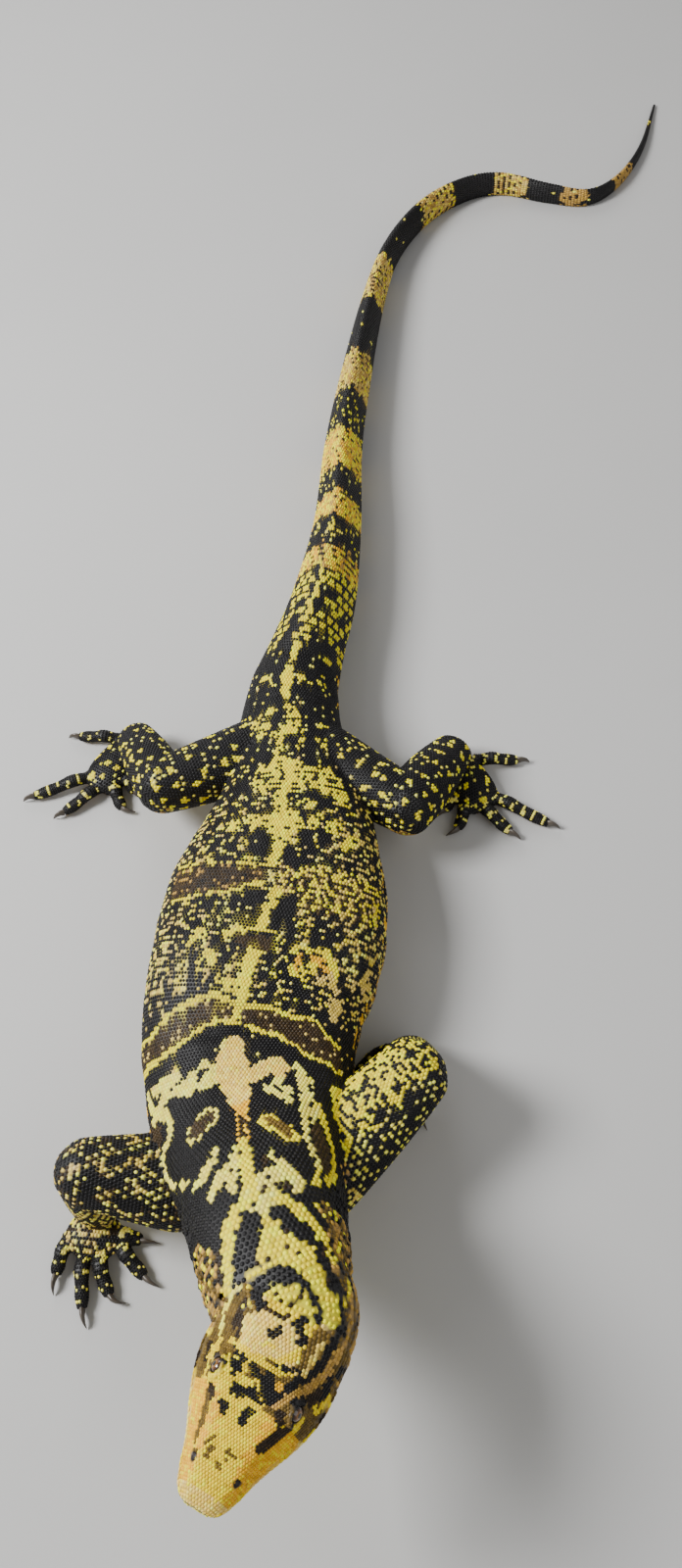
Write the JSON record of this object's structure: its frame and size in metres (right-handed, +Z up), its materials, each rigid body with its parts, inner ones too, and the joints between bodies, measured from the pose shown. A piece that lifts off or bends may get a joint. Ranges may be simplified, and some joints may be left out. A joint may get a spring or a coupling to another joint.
{
  "type": "water monitor lizard",
  "caption": "Life-size model of a Philippine water monitor lizard with black and yellow scales, head raised, legs spread and long tail laid on the floor.",
  "frame": {"origin": "on the floor, under the middle of the whole animal's outline as seen from above", "axes": "+Z up, the head towards -Y and the tail towards +Y, the animal's left towards +X"},
  "size_m": [0.6757, 1.7626, 0.2032],
  "materials": {
    "skin_head": "smooth yellow head shields with black marks, satin",
    "skin_neck": "domed yellow and black scales, satin",
    "skin_back": "glossy black bead scales with yellow, cream and brown marks",
    "skin_limb": "glossy black bead scales with yellow and cream spots",
    "skin_tail": "keeled scales in black and yellow bands, satin",
    "claw": "dark horn, smooth",
    "eye": "dark brown, wet gloss"
  },
  "bodies": {
    "root": {"head": "skin_head", "eye_left": "eye", "eye_right": "eye", "neck": "skin_neck", "torso": "skin_back", "tail_1": "skin_tail", "tail_2": "skin_tail", "tail_3": "skin_tail", "tail_4": "skin_tail", "tail_5": "skin_tail", "tail_6": "skin_tail", "front_right_upper": "skin_limb", "front_right_lower": "skin_limb", "front_right_foot": "skin_limb", "front_right_claw_1": "claw", "front_right_claw_2": "claw", "front_right_claw_3": "claw", "front_right_claw_4": "claw", "front_right_claw_5": "claw", "front_left_upper": "skin_limb", "front_left_lower": "skin_limb", "front_left_foot": "skin_limb", "front_left_claw_1": "claw", "front_left_claw_2": "claw", "front_left_claw_3": "claw", "front_left_claw_4": "claw", "front_left_claw_5": "claw", "hind_right_upper": "skin_limb", "hind_right_lower": "skin_limb", "hind_right_foot": "skin_limb", "hind_right_claw_1": "claw", "hind_right_claw_2": "claw", "hind_right_claw_3": "claw", "hind_right_claw_4": "claw", "hind_right_claw_5": "claw", "hind_left_upper": "skin_limb", "hind_left_lower": "skin_limb", "hind_left_foot": "skin_limb", "hind_left_claw_1": "claw", "hind_left_claw_2": "claw", "hind_left_claw_3": "claw", "hind_left_claw_4": "claw", "hind_left_claw_5": "claw"}
  },
  "joints": []
}
